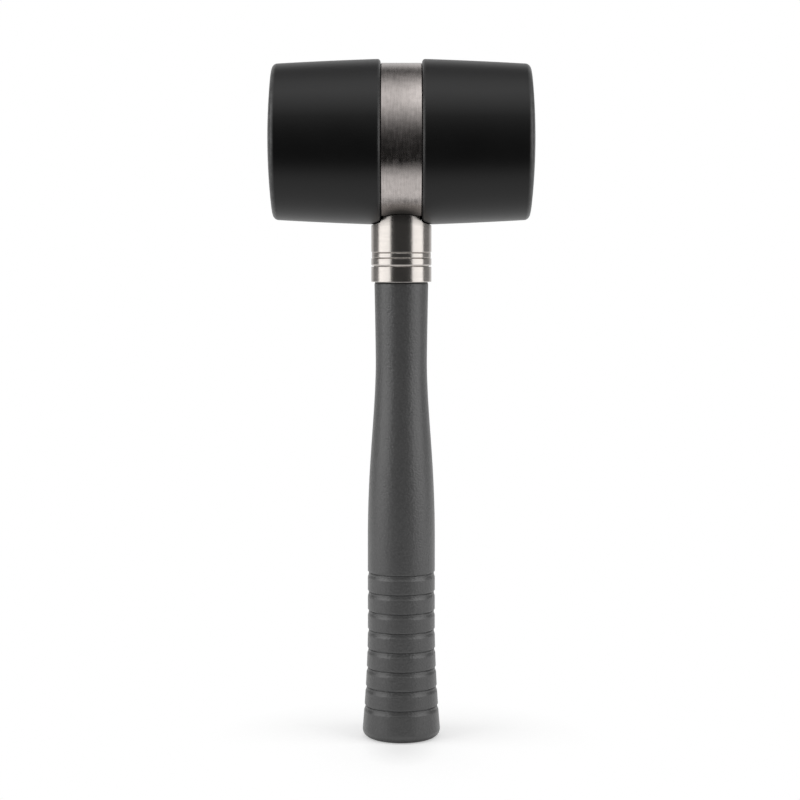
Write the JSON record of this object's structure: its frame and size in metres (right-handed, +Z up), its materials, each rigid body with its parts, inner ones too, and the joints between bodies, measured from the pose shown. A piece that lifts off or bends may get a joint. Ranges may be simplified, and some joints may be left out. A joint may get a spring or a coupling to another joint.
{
  "type": "soft face hammer",
  "caption": "Soft face hammer: tapered black rubber faces screw into a banded alloy hub, carried on a turned steel socket and a full-length ribbed grey rubber grip.",
  "frame": {"origin": "middle of the butt, where the hammer stands on a flat surface", "axes": "+Z up along the handle to the head, X along the head through both faces, Y across the head"},
  "size_m": [0.127, 0.0784, 0.3276],
  "materials": {
    "face_rubber": "smooth satin black",
    "grip_rubber": "matte dark grey, finely textured",
    "band_steel": "brushed round the band",
    "socket_steel": "fine turned satin",
    "hub_alloy": "as turned",
    "plated_steel": "bright zinc plate",
    "washer_fibre": "red vulcanised fibre",
    "plug_nylon": "black moulded nylon"
  },
  "bodies": {
    "handle": {"head_hub": "hub_alloy", "head_band": "band_steel", "hub_pin": "plated_steel", "socket": "socket_steel", "collar": "socket_steel", "handle_tube": "plated_steel", "end_plug": "plug_nylon", "grip": "grip_rubber"},
    "left_washer_slide": {"left_washer": "washer_fibre"},
    "left_head_face": {"left_face": "face_rubber", "left_plate": "plated_steel", "left_stud": "plated_steel"},
    "right_washer_slide": {"right_washer": "washer_fibre"},
    "right_head_face": {"right_face": "face_rubber", "right_plate": "plated_steel", "right_stud": "plated_steel"}
  },
  "joints": [
    {"name": "left_face_travel", "type": "slide", "parent": "handle", "child": "left_washer_slide", "axis": [-1, 0, 0], "range_m": [0, 0.014]},
    {"name": "left_face_screw", "type": "hinge", "parent": "left_washer_slide", "child": "left_head_face", "pos_m": [0, 0, 0.28835], "axis": [-1, 0, 0], "range_deg": [0, 2520]},
    {"name": "right_face_travel", "type": "slide", "parent": "handle", "child": "right_washer_slide", "axis": [1, 0, 0], "range_m": [0, 0.014]},
    {"name": "right_face_screw", "type": "hinge", "parent": "right_washer_slide", "child": "right_head_face", "pos_m": [0, 0, 0.28835], "axis": [1, 0, 0], "range_deg": [0, 2520]}
  ],
  "couplings": [
    {"joint": "left_face_travel", "follows": "left_face_screw", "m_per_rad": 0.00031831},
    {"joint": "right_face_travel", "follows": "right_face_screw", "m_per_rad": 0.00031831}
  ]
}
